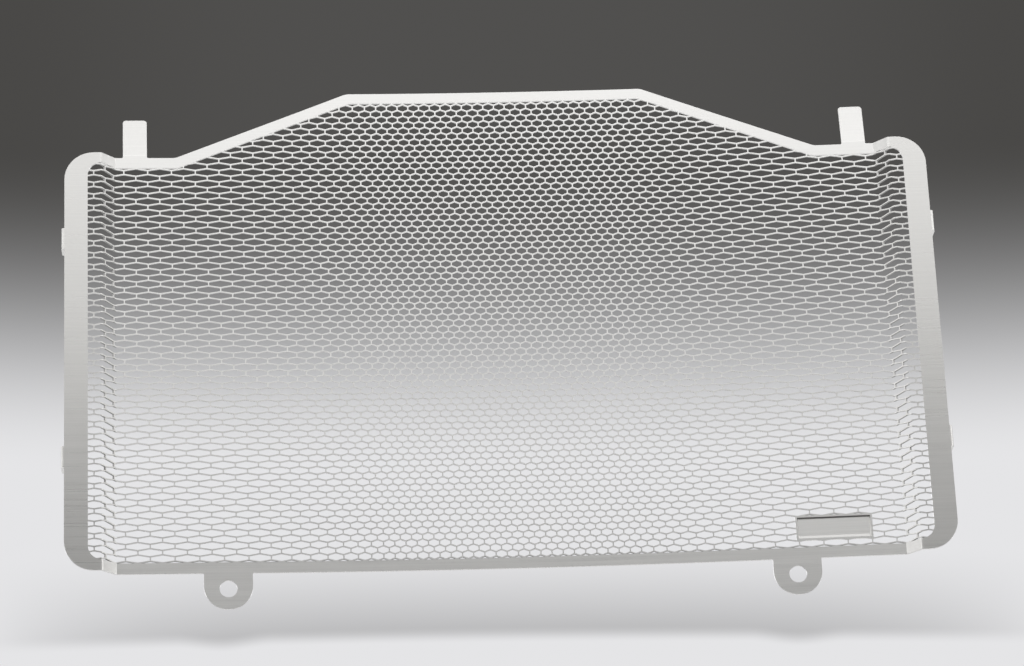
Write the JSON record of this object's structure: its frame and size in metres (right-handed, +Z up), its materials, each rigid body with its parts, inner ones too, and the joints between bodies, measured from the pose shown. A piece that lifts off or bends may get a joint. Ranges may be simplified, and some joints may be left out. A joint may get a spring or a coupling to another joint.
{
  "type": "motorcycle radiator guard",
  "caption": "Curved stainless radiator guard: graded hexagon lattice in a solid border, side rails stepped forward, lower bolt tabs, upper hooks and folded side clips.",
  "frame": {"origin": "midway between the two lower bolt holes, in the middle of the sheet's thickness there", "axes": "+X to the right seen from the front, +Y to the back towards the radiator, +Z up"},
  "size_m": [0.357, 0.0131, 0.2234],
  "materials": {
    "brushed_stainless": "fine horizontal brushed stainless sheet with bright laser-cut edges"
  },
  "bodies": {
    "root": {"guard_panel": "brushed_stainless"}
  },
  "joints": []
}
